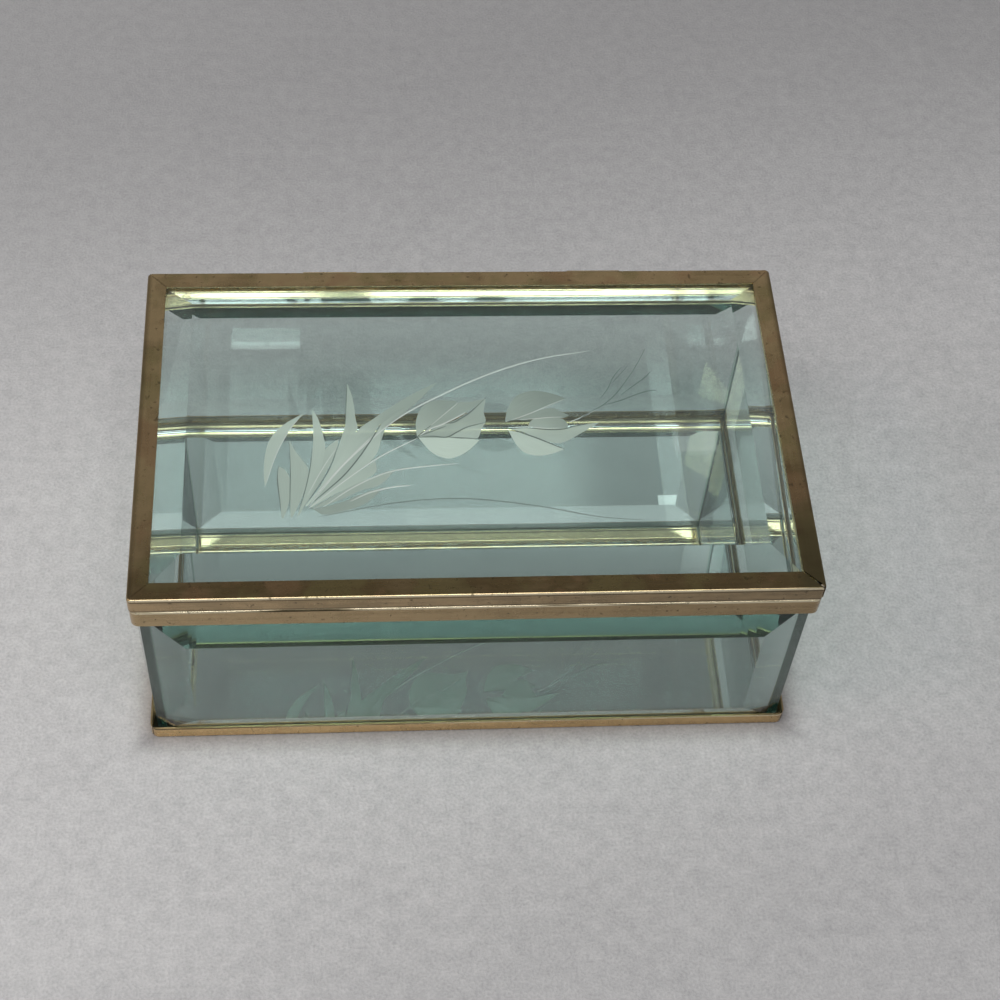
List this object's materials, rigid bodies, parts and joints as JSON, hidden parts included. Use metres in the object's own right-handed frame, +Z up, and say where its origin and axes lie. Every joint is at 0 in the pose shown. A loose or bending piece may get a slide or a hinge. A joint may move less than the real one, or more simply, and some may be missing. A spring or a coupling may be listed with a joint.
{
  "type": "glass casket box",
  "caption": "Low rectangular box of bevelled plate glass in folded brass strip, with a mirror floor and a leaf-engraved lid hinged at the back.",
  "frame": {"origin": "middle of the underside, on the surface that the box stands on, centred on the brass frames", "axes": "+X to the right seen from the front, +Y to the back where the hinges are, +Z up"},
  "size_m": [0.1678, 0.1071, 0.066],
  "materials": {
    "base_brass": "lacquered sheet, lightly tarnished",
    "rim_brass": "lacquered sheet, lightly tarnished",
    "lid_brass": "tarnished to brown on top",
    "hinge_brass": "plain rolled sheet",
    "pin_brass": "drawn wire",
    "bevelled_glass": "polished plate with a green edge",
    "mirror_plate_glass": "polished",
    "silvering": "silvered, painted below",
    "bedding": "clear set bedding",
    "solder": "dull solder"
  },
  "bodies": {
    "box": {"base_frame": "base_brass", "base_joint_solder": "solder", "mirror_glass": "mirror_plate_glass", "mirror_silvering": "silvering", "front_pane": "bevelled_glass", "back_pane": "bevelled_glass", "left_pane": "bevelled_glass", "right_pane": "bevelled_glass", "rim_frame": "rim_brass", "rim_joint_solder": "solder", "rim_bedding": "bedding", "left_hinge_body_leaf": "hinge_brass", "left_hinge_pin": "pin_brass", "right_hinge_body_leaf": "hinge_brass", "right_hinge_pin": "pin_brass"},
    "lid": {"lid_frame": "lid_brass", "lid_joint_solder": "solder", "lid_glass": "bevelled_glass", "lid_bedding": "bedding", "left_hinge_lid_leaf": "hinge_brass", "right_hinge_lid_leaf": "hinge_brass"}
  },
  "joints": [
    {"name": "lid_hinge", "type": "hinge", "parent": "box", "child": "lid", "pos_m": [0, 0.053, 0.05945], "axis": [-1, 0, 0], "range_deg": [0, 200]}
  ]
}
